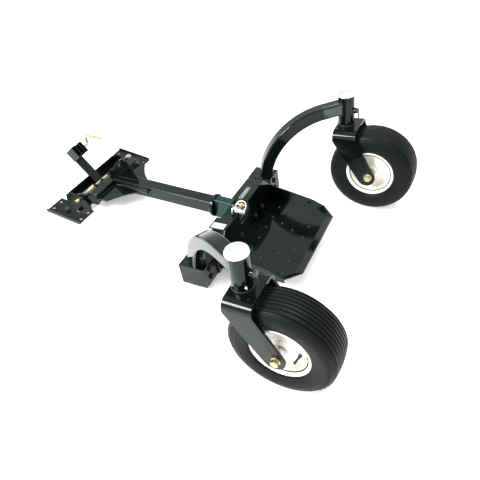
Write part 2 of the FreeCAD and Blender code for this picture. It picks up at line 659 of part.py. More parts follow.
def mounting_plate():
    plate = box(EAR_X1, PLATE_X1 - 5.0, PLATE_Y0, PLATE_Y1, 0.0, 6.0)
    flange = box(PLATE_X1 - 5.0, PLATE_X1, PLATE_Y0, PLATE_Y1, 0.0, 14.0)
    solid = fuse([plate, flange])
    for x in MOUNT_XS:
        for y in MOUNT_YS:
            solid = solid.cut(cyl((x, y, -1.0), (0, 0, 1), MOUNT_HOLE_R, 10.0))
    return solid.cut(cyl((CENTRE_BOLT_X, CENTRE_BOLT_Y, -1.0), (0, 0, 1), 6.0, 10.0))


def plate_bolt():
    shaft = cyl((CENTRE_BOLT_X, CENTRE_BOLT_Y, 0.5), (0, 0, 1), 6.0, 8.0)
    washer = cyl((CENTRE_BOLT_X, CENTRE_BOLT_Y, 6.0), (0, 0, 1), 12.0, 2.0)
    head = hexagon((CENTRE_BOLT_X, CENTRE_BOLT_Y, 8.0), (0, 0, 1), 19.0, 8.0)
    return fuse([shaft, washer, head])


def along_bar(shape):
    """Move a shape drawn with +Y along the stow bar and +Z off its upper face."""
    shape.rotate(V(0, 0, 0), V(1, 0, 0), BAR_DEG)
    shape.translate(V(0, HITCH_Y, HITCH_Z))
    return shape


def stow_bar():
    bar = along_bar(box(-20.0, 20.0, -20.0, 140.0, 18.0, 26.0))
    bar = bar.cut(box(-40.0, 40.0, -1100.0, -900.0, -60.0, 6.0))
    return bar


def latch_block():
    """Open-fronted box with a slot for the sector plate and four pin guides."""
    outer = box(-29.0, 29.0, 122.0, 170.0, -30.0, 18.0)
    inner = box(-24.0, 24.0, 127.0, 165.0, -31.0, 13.0)
    guides = [box(-15.0, -10.0, 127.0, 165.0, -30.0, 13.0), box(4.0, 9.0, 127.0, 165.0, -30.0, 13.0)]
    solid = fuse([outer.cut(inner)] + guides)
    solid = solid.cut(box(-10.0, 4.0, 118.0, 174.0, -37.0, 13.0))
    solid = solid.cut(cyl((-40.0, PIN_S, PIN_N), (1, 0, 0), 6.0 + RUN_FIT, 54.0))
    return along_bar(solid)


def stow_pin():
    """L-handled pull pin, parked out of the slot."""
    a = math.radians(BAR_DEG)
    y = HITCH_Y + PIN_S * math.cos(a) - PIN_N * math.sin(a)
    z = HITCH_Z + PIN_S * math.sin(a) + PIN_N * math.cos(a)
    foot = V(-66.0, y, z)
    top = foot + V(0, -6.0, 36.0)
    shaft = cyl((foot.x, y, z), (1, 0, 0), 6.0, 54.0)
    leg = cyl((foot.x, y, z), (0, -6.0, 36.0), 6.0, 36.5)
    handle = cyl((top.x, top.y, top.z), (0, 0.978, 0.209), 6.0, 90.0)
    elbows = [Part.makeSphere(6.0, foot), Part.makeSphere(6.0, top)]
    return fuse([shaft, leg, handle] + elbows)


# ---- the whole part -----------------------------------------------------
def both_sides(name, shape):
    return {name + "_left": shape, name + "_right": mirrored(shape)}


def pair(shape):
    return group(shape.Solids + mirrored(shape).Solids)


def chassis_nodes():
    nodes = {"platform_floor": deck_floor(), "platform_sides": pair(deck_side()),
             "toe_board": toe_board(), "cross_beam": cross_beam(), "platform_bolts": deck_bolts(),
             "arm_sockets": pair(arm_socket()), "arm_bolts": pair(arm_bolts()),
             "dust_caps": pair(dust_cap()), "caster_bearings": pair(caster_bearings()),
             "tube_bolts": pair(tube_bolt())}
    nodes.update(both_sides("gooseneck_arm", arm()))
    nodes.update(both_sides("caster_tube", caster_tube()))
    nodes.update(both_sides("fork", fork()))
    nodes.update(both_sides("kingpin", kingpin()))
    nodes.update(both_sides("fork_seal", fork_seal()))
    nodes.update(both_sides("axle_bolt", axle_bolt()))
    nodes.update(both_sides("axle_spacers", axle_spacers()))
    nodes.update(both_sides("tyre", tyre()))
    nodes.update(both_sides("rim", rim()))
    nodes.update(both_sides("hub", hub()))
    nodes.update(both_sides("wheel_bearings", wheel_bearings()))
    nodes.update(both_sides("valve_stem", valve_stem()))
    return nodes


def tongue_nodes():
    return {"coupler_housing": coupler_housing(), "spindle_bushings": spindle_bushings(),
            "spindle": spindle(), "collar": collar(), "collar_bolts": collar_bolts(),
            "tongue_tube": tongue_tube(), "tongue_side_bar": tongue_side_bar(),
            "head_cross_tube": head_cross_tube(), "head_wings": pair(head_wing()),
            "head_arms": pair(head_arm()), "pin_guides": pin_guides(),
            "sector_plate": sector_plate(), "hitch_pin_left": hitch_pin_left(),
            "hitch_spring_left": hitch_spring_left(), "hinge_pin_right": hinge_pin_right(),
            "pin_clip_right": pin_clip_right(), "lynch_pin": lynch_pin(),
            "lynch_ring": lynch_ring()}


def bracket_nodes():
    nodes = {"hitch_channel": hitch_channel(), "stow_bar": stow_bar(),
             "latch_block": latch_block(), "stow_pin": stow_pin(),
             "bracket_ears": pair(bracket_ear()), "plate_bolts": pair(plate_bolt())}
    nodes.update(both_sides("mounting_plate", mounting_plate()))
    return nodes


def build():
    nodes = bracket_nodes()
    for name, shape in chassis_nodes().items():
        nodes[name] = pitched(shape)
    for name, shape in tongue_nodes().items():
        nodes[name] = on_tongue(shape)
    for shape in nodes.values():
        shape.translate(V(0, ORIGIN_Y, 0))
    return nodes


os.makedirs("parts", exist_ok=True)
for node, solid in build().items():
    solid.exportStep("parts/" + node + ".step")
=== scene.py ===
import json
import math
import random

import bmesh
import bpy
from mathutils import Matrix, Vector


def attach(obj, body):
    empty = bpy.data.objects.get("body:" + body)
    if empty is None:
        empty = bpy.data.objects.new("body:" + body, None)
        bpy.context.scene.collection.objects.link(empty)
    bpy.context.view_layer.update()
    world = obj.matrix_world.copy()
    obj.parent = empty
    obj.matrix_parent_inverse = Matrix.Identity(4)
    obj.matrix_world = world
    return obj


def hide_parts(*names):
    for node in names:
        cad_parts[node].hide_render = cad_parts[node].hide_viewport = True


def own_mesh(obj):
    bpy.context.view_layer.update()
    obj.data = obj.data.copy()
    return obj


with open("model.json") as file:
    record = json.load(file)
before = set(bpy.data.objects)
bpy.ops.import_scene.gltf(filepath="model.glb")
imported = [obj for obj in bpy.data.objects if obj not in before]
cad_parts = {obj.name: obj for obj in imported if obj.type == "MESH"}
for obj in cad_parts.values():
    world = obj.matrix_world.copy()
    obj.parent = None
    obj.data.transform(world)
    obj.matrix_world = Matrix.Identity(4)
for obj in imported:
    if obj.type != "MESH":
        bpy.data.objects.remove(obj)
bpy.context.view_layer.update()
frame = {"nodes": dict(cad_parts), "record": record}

# Looks for the stand-on sulky: glossy black steelwork, ribbed tyres on cream rims,
# bright caps and yellow-zinc pins.  Metres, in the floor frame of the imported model.

# ---- dimensions shared with the CAD (metres, degrees) --------------------
CASTER_X = 0.456
TRAIL = 0.1086
AXLE_Z = 0.165
TYRE_R = 0.165
PITCH = math.radians(11.7)
TONGUE_SLOPE = math.radians(7.7)
BAR_ANGLE = math.radians(138.0)
MM = 0.001
ORIGIN_Y = 0.48676  # the wheel contacts are this far behind the frame's origin
ROLL_POINT = Vector((0.0, ORIGIN_Y - 0.4137, 0.1231))
HITCH_POINT = Vector((0.0, ORIGIN_Y - 1.0, 0.030))

CHASSIS = (Matrix.Translation((0, ORIGIN_Y, AXLE_Z)) @ Matrix.Rotation(PITCH, 4, "X")
           @ Matrix.Translation((0, -TRAIL, -AXLE_Z)))
TONGUE = Matrix.Translation(ROLL_POINT) @ Matrix.Rotation(TONGUE_SLOPE, 4, "X")
WORLD = Matrix.Identity(4)
BRACKET = Matrix.Translation((0, ORIGIN_Y, 0))
SIDES = (("left", 1.0), ("right", -1.0))
LENS_MM = 36.466
CAMERA_PLACE = (1.2148, ORIGIN_Y + 0.1707, 1.3113)
SIDE_LIGHT_WATTS = 110.0
TOP_LIGHT_WATTS = 55.0


# ---- materials ------------------------------------------------------------
def shader(name):
    material = bpy.data.materials.new(name)
    material.use_nodes = True
    tree = material.node_tree
    principled = tree.nodes["Principled BSDF"]
    coord = tree.nodes.new("ShaderNodeTexCoord")
    return material, tree, principled, coord


def noise(tree, coord, scale, detail=4.0, stretch=None):
    """Noise in object space, optionally stretched along an axis."""
    node = tree.nodes.new("ShaderNodeTexNoise")
    node.inputs["Scale"].default_value = scale
    node.inputs["Detail"].default_value = detail
    if stretch:
        mapping = tree.nodes.new("ShaderNodeMapping")
        mapping.inputs["Scale"].default_value = stretch
        tree.links.new(coord.outputs["Object"], mapping.inputs["Vector"])
        tree.links.new(mapping.outputs["Vector"], node.inputs["Vector"])
    else:
        tree.links.new(coord.outputs["Object"], node.inputs["Vector"])
    return node.outputs["Fac"]


def ramp(tree, fac, stops):
    node = tree.nodes.new("ShaderNodeValToRGB")
    elements = node.color_ramp.elements
    while len(elements) < len(stops):
        elements.new(0.5)
    for element, (position, colour) in zip(elements, stops):
        element.position = position
        element.color = (*colour, 1.0)
    tree.links.new(fac, node.inputs["Fac"])
    return node.outputs["Color"]


def span(tree, fac, low, high, start=0.3, end=0.7):
    """Map the middle of a factor onto low..high."""
    node = tree.nodes.new("ShaderNodeMapRange")
    node.inputs["From Min"].default_value = start
    node.inputs["From Max"].default_value = end
    node.inputs["To Min"].default_value = low
    node.inputs["To Max"].default_value = high
    tree.links.new(fac, node.inputs["Value"])
    return node.outputs["Result"]


def mixed(tree, fac, first, second):
    node = tree.nodes.new("ShaderNodeMix")
    node.data_type = "RGBA"
    tree.links.new(fac, node.inputs["Factor"])
    for socket, value in ((node.inputs[6], first), (node.inputs[7], second)):
        if isinstance(value, tuple):
            socket.default_value = (*value, 1.0)
        else:
            tree.links.new(value, socket)
    return node.outputs[2]


def bumped(tree, principled, height, strength, distance):
    node = tree.nodes.new("ShaderNodeBump")
    node.inputs["Strength"].default_value = strength
    node.inputs["Distance"].default_value = distance
    tree.links.new(height, node.inputs["Height"])
    tree.links.new(node.outputs["Normal"], principled.inputs["Normal"])


def edge_wear_and_groove_shade(tree, start, end):
    """Factor that rises on convex edges, from the surface's pointiness; it marks worn edges on the coat and
    painted shade where it stays low in the tyre's grooves.
    """
    geometry = tree.nodes.new("ShaderNodeNewGeometry")
    return span(tree, geometry.outputs["Pointiness"], 0.0, 1.0, start, end)


def coated(name, colour, haze, rough, peel=0.1, wear=(0.06, 0.065, 0.062)):
    """Powder coat: even gloss, faint orange peel, dust haze and lighter worn edges."""
    material, tree, principled, coord = shader(name)
    haze_noise = noise(tree, coord, 9.0, 6.0)
    base = ramp(tree, haze_noise, [(0.35, colour), (0.75, haze)])
    edge = edge_wear_and_groove_shade(tree, 0.56, 0.66)
    tree.links.new(mixed(tree, edge, base, wear), principled.inputs["Base Color"])
    smudge = noise(tree, coord, 22.0, 5.0)
    tree.links.new(span(tree, smudge, rough[0], rough[1]), principled.inputs["Roughness"])
    bumped(tree, principled, noise(tree, coord, 420.0, 2.0), peel, 0.0004)
    principled.inputs["IOR"].default_value = 1.52
    principled.inputs["Specular IOR Level"].default_value = 0.28
    principled.inputs["Specular Tint"].default_value = (0.86, 1.0, 0.93, 1.0)
    return material


def plated(name, stops, rough, grain=None, bump=0.12):
    """Zinc plate over steel: mottled passivation colours and fine draw marks."""
    material, tree, principled, coord = shader(name)
    mottle = noise(tree, coord, 60.0, 5.0)
    tree.links.new(ramp(tree, mottle, stops), principled.inputs["Base Color"])
    scuff = noise(tree, coord, 180.0, 3.0, grain)
    tree.links.new(span(tree, scuff, rough[0], rough[1]), principled.inputs["Roughness"])
    bumped(tree, principled, scuff, bump, 0.0003)
    principled.inputs["Metallic"].default_value = 1.0
    return material


def tread_rubber():
    """Tyre rubber: charcoal with a dusty bloom, painted shade darkening the grooves, fine grain."""
    material, tree, principled, coord = shader("tyre_rubber_look")
    bloom = noise(tree, coord, 14.0, 6.0)
    base = ramp(tree, bloom, [(0.3, (0.002, 0.003, 0.0035)), (0.8, (0.005, 0.0065, 0.007))])
    # painted shade: a near-black colour is mixed in where the pointiness is low, in the grooves of the tread
    groove_shade_mask = edge_wear_and_groove_shade(tree, 0.38, 0.52)
    tree.links.new(mixed(tree, groove_shade_mask, (0.003, 0.003, 0.004), base), principled.inputs["Base Color"])
    grain = noise(tree, coord, 700.0, 3.0)
    tree.links.new(span(tree, bloom, 0.36, 0.5), principled.inputs["Roughness"])
    bumped(tree, principled, grain, 0.25, 0.0005)
    principled.inputs["Specular IOR Level"].default_value = 0.13
    return material


def enamel():
    """Cream enamel of the rims: slight shade variation and a few brake-dust specks."""
    material, tree, principled, coord = shader("cream_enamel")
    shade = noise(tree, coord, 7.0, 4.0)
    base = ramp(tree, shade, [(0.3, (0.86, 0.84, 0.74)), (0.7, (0.95, 0.93, 0.86))])
    specks = noise(tree, coord, 260.0, 2.0)
    dirt = span(tree, specks, 0.0, 0.6, 0.70, 0.78)
    tree.links.new(mixed(tree, dirt, base, (0.42, 0.38, 0.30)), principled.inputs["Base Color"])
    tree.links.new(span(tree, shade, 0.22, 0.34), principled.inputs["Roughness"])
    bumped(tree, principled, noise(tree, coord, 300.0, 2.0), 0.08, 0.0004)
    return material


def soft_rubber(name, colour):
    material, tree, principled, coord = shader(name)
    dust = noise(tree, coord, 40.0, 4.0)
    base = ramp(tree, dust, [(0.3, colour), (0.8, tuple(2.2 * c for c in colour))])
    tree.links.new(base, principled.inputs["Base Color"])
    tree.links.new(span(tree, dust, 0.35, 0.55), principled.inputs["Roughness"])
    bumped(tree, principled, noise(tree, coord, 500.0, 2.0), 0.15, 0.0004)
    return material


def sticker(name, paper, shade):
    """Printed vinyl: flat paper colour with a faint mottled tone and a satin face."""
    material, tree, principled, coord = shader(name)
    tone = noise(tree, coord, 130.0, 3.0)
    tree.links.new(ramp(tree, tone, [(0.3, paper), (0.8, shade)]), principled.inputs["Base Color"])
    tree.links.new(span(tree, tone, 0.3, 0.45), principled.inputs["Roughness"])
    bumped(tree, principled, tone, 0.05, 0.0002)
    return material


def studio_floor():
    material, tree, principled, coord = shader("studio_floor")
    tone = noise(tree, coord, 1.5, 2.0)
    pale = ramp(tree, tone, [(0.3, (0.92, 0.925, 0.92)), (0.7, (0.94, 0.945, 0.94))])
    tree.links.new(pale, principled.inputs["Base Color"])
    principled.inputs["Roughness"].default_value = 0.9
    principled.inputs["Specular IOR Level"].default_value = 0.1
    principled.inputs["Emission Color"].default_value = (0.95, 0.96, 0.95, 1.0)
    principled.inputs["Emission Strength"].default_value = 0.3
    return material


YELLOW_STOPS = [(0.25, (0.50, 0.40, 0.18)), (0.5, (0.64, 0.56, 0.33)), (0.75, (0.54, 0.48, 0.34))]
STEEL_STOPS = [(0.25, (0.52, 0.52, 0.50)), (0.55, (0.68, 0.68, 0.66)), (0.8, (0.60, 0.59, 0.55))]
CAP_STOPS = [(0.25, (0.76, 0.77, 0.77)), (0.55, (0.82, 0.83, 0.83)), (0.8, (0.79, 0.80, 0.80))]
BEARING_STOPS = [(0.3, (0.45, 0.46, 0.47)), (0.7, (0.6, 0.61, 0.62))]
BRONZE_STOPS = [(0.3, (0.42, 0.27, 0.13)), (0.7, (0.56, 0.38, 0.2))]

LOOKS = {
    "black_powder_coat": coated("black_gloss_coat", (0.0015, 0.0025, 0.002), (0.003, 0.0045, 0.004), (0.05,
                                0.10)),
    "satin_black_steel": coated("satin_black_zinc", (0.018, 0.018, 0.018), (0.035, 0.035, 0.034), (0.25,
                                0.4)),
    "tyre_rubber": tread_rubber(),
    "cream_paint": enamel(),
    "bright_zinc_cap": plated("bright_zinc", CAP_STOPS, (0.3, 0.38), None, 0.04),
    "yellow_zinc": plated("yellow_zinc_plate", YELLOW_STOPS, (0.22, 0.42)),
    "plated_bolt": plated("clear_zinc_plate", STEEL_STOPS, (0.2, 0.4)),
    "bearing_steel": plated("ground_steel", BEARING_STOPS, (0.15, 0.25), (1.0, 1.0, 12.0)),
    "seal_rubber": soft_rubber("black_rubber", (0.008, 0.008, 0.009)),
    "bushing_bronze": plated("sintered_bronze", BRONZE_STOPS, (0.4, 0.6)),
}
TEAL_COAT = coated("teal_black_coat", (0.002, 0.022, 0.020), (0.004, 0.032, 0.028), (0.08, 0.15))
WELD_LOOK = coated("coated_weld", (0.006, 0.0075, 0.007), (0.012, 0.015, 0.014), (0.15, 0.3), 0.5)
WHITE_LABEL = sticker("white_vinyl", (0.50, 0.51, 0.50), (0.44, 0.45, 0.44))
GREY_LABEL = sticker("grey_vinyl", (0.05, 0.055, 0.052), (0.07, 0.075, 0.07))
SILVER_INK = sticker("silver_ink", (0.36, 0.38, 0.36), (0.45, 0.47, 0.45))


# ---- mesh helpers -----------------------------------------------------------
def piece(name, mesh, matrix, material, body, replaces=()):
    """Turn a bmesh drawn in a local frame into a named piece riding on a CAD body."""
    if matrix.determinant() < 0:
        bmesh.ops.reverse_faces(mesh, faces=mesh.faces)
    bmesh.ops.transform(mesh, matrix=matrix, verts=mesh.verts)
    for face in mesh.faces:
        face.smooth = True
    data = bpy.data.meshes.new(name)
    mesh.to_mesh(data)
    mesh.free()
    data.set_sharp_from_angle(angle=math.radians(38.0))
    data.materials.append(material)
    obj = bpy.data.objects.new(name, data)
    bpy.context.scene.collection.objects.link(obj)
    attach(obj, body)
    if replaces:
        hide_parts(*replaces)
    return obj


def softened(points, radius, steps=3, closed=True):
    """Round every corner of a polyline with a short curve."""
    out = []
    count = len(points)
    for i, corner in enumerate(points):
        if not closed and i in (0, count - 1):
            out.append(corner)
            continue
        before = points[i - 1]
        after = points[(i + 1) % count]
        reach_in = min(radius, 0.45 * (before - corner).length)
        reach_out = min(radius, 0.45 * (after - corner).length)
        start = corner + (before - corner).normalized() * reach_in
        end = corner + (after - corner).normalized() * reach_out
        for k in range(steps + 1):
            t = k / steps
            out.append(start * (1 - t) ** 2 + corner * 2 * t * (1 - t) + end * t ** 2)
    return out


def lathe(profile, segments=96, closed=True):
    """Revolve (radius, along) points about local X."""
    mesh = bmesh.new()
    rings = []
    for k in range(segments):
        a = 2.0 * math.pi * k / segments
        rings.append([mesh.verts.new((p[1], p[0] * math.cos(a), p[0] * math.sin(a))) for p in profile])
    count = len(profile)
    last = count if closed else count - 1
    for k in range(segments):
        here = rings[k]
        there = rings[(k + 1) % segments]
        for i in range(last):
            j = (i + 1) % count
            mesh.faces.new((here[i], here[j], there[j], there[i]))
    bmesh.ops.remove_doubles(mesh, verts=mesh.verts, dist=1e-6)
    bmesh.ops.recalc_face_normals(mesh, faces=mesh.faces)
    return mesh


def tube(path, radius, sides=14, closed=False, swell=None):
    """Round rod along a path; swell(k) scales the radius at point k."""
    mesh = bmesh.new()
    count = len(path)
    normal = None
    rings = []
    for k, point in enumerate(path):
        if closed:
            forward = (path[(k + 1) % count] - path[k - 1]).normalized()
        else:
            forward = (path[min(k + 1, count - 1)] - path[max(k - 1, 0)]).normalized()
        if normal is None:
            normal = forward.orthogonal().normalized()
        normal = (normal - forward * normal.dot(forward)).normalized()
        side = forward.cross(normal)
        r = radius * (swell(k) if swell else 1.0)
        ring = []
        for i in range(sides):
            a = 2.0 * math.pi * i / sides
            ring.append(mesh.verts.new(point + (normal * math.cos(a) + side * math.sin(a)) * r))
        rings.append(ring)
    for k in range(count if closed else count - 1):
        here = rings[k]
        there = rings[(k + 1) % count]
        for i in range(sides):
            j = (i + 1) % sides
            mesh.faces.new((here[i], here[j], there[j], there[i]))
    if not closed:
        mesh.faces.new(list(reversed(rings[0])))
        mesh.faces.new(rings[-1])
    bmesh.ops.recalc_face_normals(mesh, faces=mesh.faces)
    return mesh


def merged(meshes):
    """Join several bmeshes into the first."""
    base = meshes[0]
    for other in meshes[1:]:
        data = bpy.data.meshes.new("part")
        other.to_mesh(data)
        other.free()
        base.from_mesh(data)
        bpy.data.meshes.remove(data)
    return base


def aimed(mesh, centre, axis):
    """Turn a mesh drawn along local X onto an axis, at a centre."""
    turn = Vector((1, 0, 0)).rotation_difference(Vector(axis)).to_matrix().to_4x4()
    bmesh.ops.transform(mesh, matrix=Matrix.Translation(centre) @ turn, verts=mesh.verts)
    return mesh


def hex_head(flats, height, washer_radius=0.0, washer_height=0.0):
    """Hexagon head along +X with a round chamfer, on an optional washer."""
    mesh = bmesh.new()
    segments = 48
    half = flats / 2.0
    base = []
    brow = []
    crown = []
    for k in range(segments):
        a = 2.0 * math.pi * k / segments
        off = (math.degrees(a) + 30.0) % 60.0 - 30.0
        r = half / math.cos(math.radians(off))
        y = math.cos(a)
        z = math.sin(a)
        base.append(mesh.verts.new((washer_height, r * y, r * z)))
        brow.append(mesh.verts.new((washer_height + height - 0.1 * flats * (r / half - 0.94), r * y, r * z)))
        crown.append(mesh.verts.new((washer_height + height, 0.93 * half * y, 0.93 * half * z)))
    for k in range(segments):
        j = (k + 1) % segments
        mesh.faces.new((base[k], base[j], brow[j], brow[k]))
        mesh.faces.new((brow[k], brow[j], crown[j], crown[k]))
    mesh.faces.new(crown)
    mesh.faces.new(list(reversed(base)))
    bmesh.ops.recalc_face_normals(mesh, faces=mesh.faces)
    if washer_radius:
        rim = [Vector((0.0, 0.0)), Vector((washer_radius, 0.0)),
               Vector((washer_radius, washer_height)), Vector((0.0, washer_height))]
        plate = lathe(softened(rim, 0.0005, 2, False), 40, False)
        mesh = merged([mesh, plate])
    return mesh


def bent(points, radius, steps=6):
    return softened([Vector(p) for p in points], radius, steps, False)


def weld_bead(name, points, radius, matrix, body):
    """Weld seam: a rounded bead with the ripples of its passes."""
    path = []
    for first, second in zip(points[:-1], points[1:]):
        a = Vector(first)
        b = Vector(second)
        steps = max(2, int((b - a).length / 0.0015))
        for k in range(steps):
            path.append(a.lerp(b, k / steps))
    path.append(Vector(points[-1]))
    ripple = random.Random(name)
    phase = [ripple.uniform(-0.06, 0.06) for _ in path]

    def swell(k):
        ends = min(1.0, 0.35 + 0.25 * min(k, len(path) - 1 - k))
        return ends * (1.0 + 0.16 * math.sin(k * 2.0 * math.pi / 3.0) + phase[k])

    bead = tube(path, radius, 9, False, swell)
    return piece(name, bead, matrix, WELD_LOOK, body)


def circle(centre, across, up, radius, start=0.0, end=360.0, count=48):
    out = []
    for k in range(count + 1):
        a = math.radians(start + (end - start) * k / count)
        out.append(Vector(centre) + Vector(across) * radius * math.cos(a) + Vector(up) * radius * math.sin(a))
    return out


# ---- wheels -------------------------------------------------------------------
def wheel_frame(side_sign):
    """Local X along the axle, out from the machine on either side."""
    place = Matrix.Translation((side_sign * CASTER_X, ORIGIN_Y, AXLE_Z))
    return place @ Matrix.Diagonal((side_sign, 1.0, 1.0, 1.0))


def crown(x):
    return TYRE_R - 2.2 * x * x


def tyre_profile():
    """Closed section of the tyre: ribbed tread, stepped sidewalls, beads and inside."""
    tread = []
    for gx in (-45.0, -31.0, -18.5, -6.2, 6.2, 18.5, 31.0, 45.0):
        x = gx * MM
        half = 1.5 * MM
        deep = 4.5 * MM
        tread.append(Vector((crown(x) - 0.1 * MM, x - half - 1.2 * MM)))
        tread.append(Vector((crown(x) - 0.9 * MM, x - half)))
        tread.append(Vector((crown(x) - deep, x - 0.6 * half)))
        tread.append(Vector((crown(x) - deep, x + 0.6 * half)))
        tread.append(Vector((crown(x) - 0.9 * MM, x + half)))
        tread.append(Vector((crown(x) - 0.1 * MM, x + half + 1.2 * MM)))
    wall = [(156.0, 51.5), (152.0, 55.0), (150.5, 56.0), (149.5, 55.4), (143.0, 59.0), (134.0, 61.2),
            (131.5, 61.3), (130.5, 62.0), (128.5, 62.0), (127.5, 61.4), (121.0, 61.4), (112.0, 60.2),
            (104.5, 57.8), (103.2, 58.4), (101.4, 57.6), (100.4, 56.2), (96.0, 53.6), (92.2, 50.2),
            (91.6, 47.0), (78.2, 46.4), (78.2, 30.0), (98.0, 44.0), (122.0, 53.0), (146.0, 46.0)]
    right = [Vector((r * MM, x * MM)) for r, x in wall]
    left = [Vector((r, -x)) for r, x in reversed(right)]
    return tread + right + [Vector((151.0 * MM, 0.0))] + left


def whiskers(count, seed):
    """Moulding vents: short rubber hairs on the shoulders and sidewalls."""
    dice = random.Random(seed)
    hairs = []
    for _ in range(count):
        a = dice.uniform(0.0, 2.0 * math.pi)
        outward = dice.choice((-1.0, 1.0))
        shoulder = dice.random() < 0.7
        r = 0.1545 if shoulder else 0.140
        x = outward * (0.0525 if shoulder else 0.0598)
        length = dice.uniform(0.003, 0.0065)
        foot = Vector((x, r * math.cos(a), r * math.sin(a)))
        radial = Vector((0.0, math.cos(a), math.sin(a)))
        lean = Vector((0.0, -math.sin(a), math.cos(a))) * dice.uniform(-0.5, 0.5)
        way = (radial * 0.75 + Vector((outward * 0.5, 0, 0)) + lean).normalized()
        path = [foot, foot + way * 0.6 * length, foot + way * length + lean * 0.2 * length]
        hairs.append(tube(path, 0.00045, 5))
    return merged(hairs)


def sidewall_ribs():
    """Fine radial knurl at the tyre's shoulder, inside the moulded ring."""
    marks = []
    for outward in (-1.0, 1.0):
        for k in range(72):
            a = 2.0 * math.pi * k / 72
            low = Vector((outward * 0.0568, 0.1478 * math.cos(a), 0.1478 * math.sin(a)))
            high = Vector((outward * 0.0602, 0.1395 * math.cos(a), 0.1395 * math.sin(a)))
            marks.append(tube([low, low.lerp(high, 0.5) + Vector((outward * 0.0004, 0, 0)), high], 0.0007, 5))
    return merged(marks)


def rim_profile():
    """Stamped two-piece rim: rolled flanges, well, dished disc and hub opening."""
    half = [(91.4, 47.0), (92.6, 50.5), (92.0, 53.2), (89.4, 54.0), (86.6, 52.4), (84.2, 49.2),
            (80.8, 45.0), (77.6, 38.0), (75.4, 28.0), (71.0, 20.4), (62.0, 15.6), (50.0, 14.6),
            (40.0, 16.4), (33.0, 21.4), (28.0, 23.0), (22.2, 23.0)]
    back = [(22.2, -20.0), (28.0, -20.0), (33.0, -18.6), (40.0, -13.6), (50.0, -11.8), (62.0, -12.8),
            (70.0, -18.0), (73.6, -27.0), (75.6, -40.0), (80.0, -45.6), (85.4, -48.6), (87.0, -52.6),
            (89.4, -54.0), (92.0, -53.2), (92.6, -50.5), (91.4, -47.0), (78.0, -46.3), (77.8, -30.0),
            (74.6, -22.0), (74.6, 22.0), (77.8, 30.0), (78.0, 46.3)]
    return [Vector((r * MM, x * MM)) for r, x in half + back]


def wheel(side, sign):
    place = wheel_frame(sign)
    body = "wheel_" + side
    rubber = LOOKS["tyre_rubber"]
    tyre = lathe(softened(tyre_profile(), 0.0008, 2), 144)
    piece("ribbed_tyre_" + side, tyre, place, rubber, body, ["tyre_" + side])
    piece("tyre_whiskers_" + side, whiskers(110, side), place, rubber, body)
    piece("tyre_shoulder_knurl_" + side, sidewall_ribs(), place, rubber, body)
    rim = lathe(softened(rim_profile(), 0.0025, 3), 128)
    piece("pressed_rim_" + side, rim, place, LOOKS["cream_paint"], body, ["rim_" + side])
    stem = [(0.0, 3.6), (5.2, 3.6), (5.2, 10.0), (4.4, 11.0), (3.4, 12.0), (3.1, 26.0), (3.9, 26.4),
            (3.9, 34.6), (3.0, 35.8), (0.0, 35.8)]
    outline = [Vector((r * MM, x * MM)) for r, x in stem]
    valve = lathe(softened(outline, 0.0004, 2, False), 28, False)
    aimed(valve, Vector((14.0 * MM, 48.0 * MM, -26.0 * MM)), Vector((0.96, -0.24, -0.1)))
    valve_place = place @ Matrix.Rotation(PITCH, 4, "X")
    piece("rubber_valve_" + side, valve, valve_place, LOOKS["seal_rubber"], body,
          ["valve_stem_" + side])


def axle(side, sign):
    """Axle bolt: chamfered head and washer outboard, nylon-ring nut and thread inboard."""
    place = wheel_frame(sign) @ Matrix.Rotation(PITCH, 4, "X")
    body = "caster_" + side
    zinc = LOOKS["yellow_zinc"]
    head = aimed(hex_head(0.0215, 0.0120, 0.0142, 0.0025), Vector((0.0761, 0, 0)), (1, 0, 0))
    nut = aimed(hex_head(0.0235, 0.0105, 0.0152, 0.0025), Vector((-0.0761, 0, 0)), (-1, 0, 0))
    shank = [Vector((0.0, -0.0915)), Vector((0.0072, -0.0915)), Vector((0.0079, -0.0905)),
             Vector((0.0079, 0.0775)), Vector((0.0, 0.0775))]
    rod = lathe(shank, 32, False)
    piece("axle_hardware_" + side, merged([head, nut, rod]), place, zinc, body,
          ["axle_bolt_" + side])


# ---- caster tubes and caps --------------------------------------------------------
def caster_trim(side, sign):
    place = CHASSIS @ Matrix.Translation((sign * CASTER_X, 0, 0)) @ Matrix.Diagonal((sign, 1, 1, 1))
    upright = place @ Matrix.Rotation(-math.pi / 2.0, 4, "Y")
    cap = [(0.0, 475.4), (14.0, 474.8), (25.0, 473.0), (30.5, 471.2), (32.6, 468.4), (33.0, 465.5),
           (33.0, 462.6), (32.4, 462.2), (31.3, 462.2), (31.2, 465.6), (24.0, 465.9), (24.0, 469.7),
           (0.0, 469.8)]
    outline = [Vector((r * MM, z * MM)) for r, z in cap]
    dome = lathe(softened(outline, 0.002, 3, False), 72, False)
    lip = circle((462.8 * MM, 0, 0), (0, 1, 0), (0, 0, 1), 32.7 * MM, count=64)
    return place, upright, dome, lip


